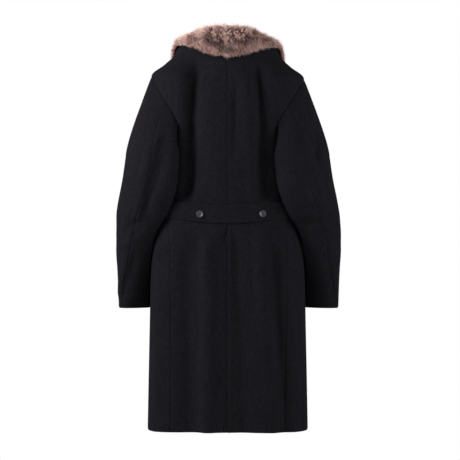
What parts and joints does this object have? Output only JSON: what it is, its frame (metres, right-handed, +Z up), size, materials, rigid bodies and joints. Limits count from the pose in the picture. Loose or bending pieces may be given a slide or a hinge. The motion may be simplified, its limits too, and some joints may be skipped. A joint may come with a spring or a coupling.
{
  "type": "double-breasted military coat",
  "caption": "Long double-breasted wool military coat with fur collar, set-in sleeves, flap pockets, back vent and buttoned half belt, filled out as worn.",
  "frame": {"origin": "middle of the neck opening, level with where the wearer's shoulders carry the coat", "axes": "+Z up, along the coat's length; the fronts face -Y; +X is the wearer's left"},
  "size_m": [0.6282, 0.3135, 1.1218],
  "materials": {
    "melton": "heavy black wool melton, brushed nap",
    "fur": "pinkish brown long-haired fur pile",
    "button_horn": "dark polished horn-like resin"
  },
  "bodies": {
    "root": {"back_left": "melton", "back_right": "melton", "front_left": "melton", "front_right": "melton", "lapel_left": "melton", "lapel_right": "melton", "half_belt": "melton", "pocket_flap_left": "melton", "pocket_flap_right": "melton", "sleeve_under_left": "melton", "sleeve_top_left": "melton", "sleeve_under_right": "melton", "sleeve_top_right": "melton", "fur_collar": "fur", "under_collar": "melton", "belt_button_left": "button_horn", "belt_button_right": "button_horn", "front_button_left_1": "button_horn", "front_button_right_1": "button_horn", "front_button_left_2": "button_horn", "front_button_right_2": "button_horn", "front_button_left_3": "button_horn", "front_button_right_3": "button_horn", "front_button_left_4": "button_horn", "front_button_right_4": "button_horn"}
  },
  "joints": []
}
